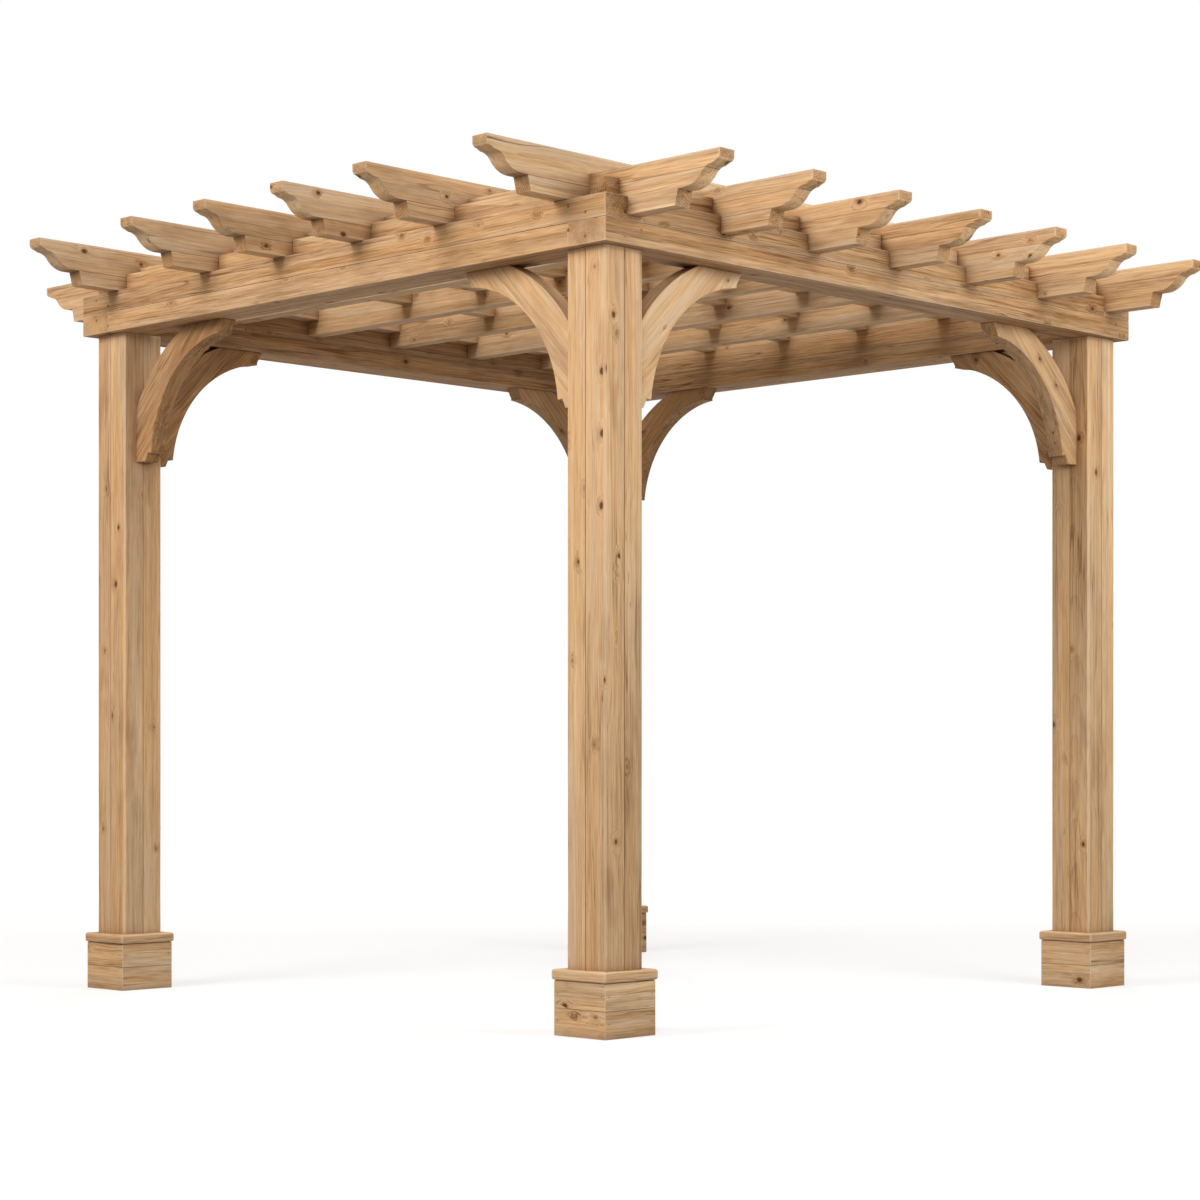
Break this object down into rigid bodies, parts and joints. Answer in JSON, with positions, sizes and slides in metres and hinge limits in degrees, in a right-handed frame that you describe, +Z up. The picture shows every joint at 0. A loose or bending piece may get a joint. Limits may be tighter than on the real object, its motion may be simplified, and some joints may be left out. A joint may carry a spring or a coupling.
{
  "type": "wooden pergola",
  "caption": "Open cedar garden pergola: grooved posts on boxed plinths, lapped double beams, curved knee braces and crossing rafters with shaped tails.",
  "frame": {"origin": "middle of the plan at ground level, under the four feet", "axes": "+Z up, +X to the right along the front beam, +Y from the front to the back"},
  "size_m": [3.048, 3.048, 2.376],
  "materials": {
    "post_wood": "planed cedar, clear oiled, vertical grain",
    "trim_wood": "planed cedar boards, clear oiled",
    "beam_wood": "planed cedar, clear oiled, long grain with knots",
    "rafter_wood": "planed cedar, clear oiled, long grain with knots",
    "brace_wood": "sawn and sanded cedar, clear oiled"
  },
  "bodies": {
    "root": {"post_front_left": "post_wood", "plinth_front_left": "trim_wood", "collar_front_left": "trim_wood", "brace_front_left_x": "brace_wood", "brace_front_left_y": "brace_wood", "post_front_right": "post_wood", "plinth_front_right": "trim_wood", "collar_front_right": "trim_wood", "brace_front_right_x": "brace_wood", "brace_front_right_y": "brace_wood", "post_back_left": "post_wood", "plinth_back_left": "trim_wood", "collar_back_left": "trim_wood", "brace_back_left_x": "brace_wood", "brace_back_left_y": "brace_wood", "post_back_right": "post_wood", "plinth_back_right": "trim_wood", "collar_back_right": "trim_wood", "brace_back_right_x": "brace_wood", "brace_back_right_y": "brace_wood", "beam_front_lower": "beam_wood", "beam_front_upper": "beam_wood", "blocking_front": "rafter_wood", "beam_back_lower": "beam_wood", "beam_back_upper": "beam_wood", "blocking_back": "rafter_wood", "beam_left_lower": "beam_wood", "beam_left_upper": "beam_wood", "blocking_left": "rafter_wood", "beam_right_lower": "beam_wood", "beam_right_upper": "beam_wood", "blocking_right": "rafter_wood", "rafter_1": "rafter_wood", "rafter_2": "rafter_wood", "rafter_3": "rafter_wood", "rafter_4": "rafter_wood", "rafter_5": "rafter_wood", "rafter_6": "rafter_wood", "rafter_7": "rafter_wood", "cross_rafter_1": "rafter_wood", "cross_rafter_2": "rafter_wood", "cross_rafter_3": "rafter_wood", "cross_rafter_4": "rafter_wood", "cross_rafter_5": "rafter_wood", "cross_rafter_6": "rafter_wood"}
  },
  "joints": []
}
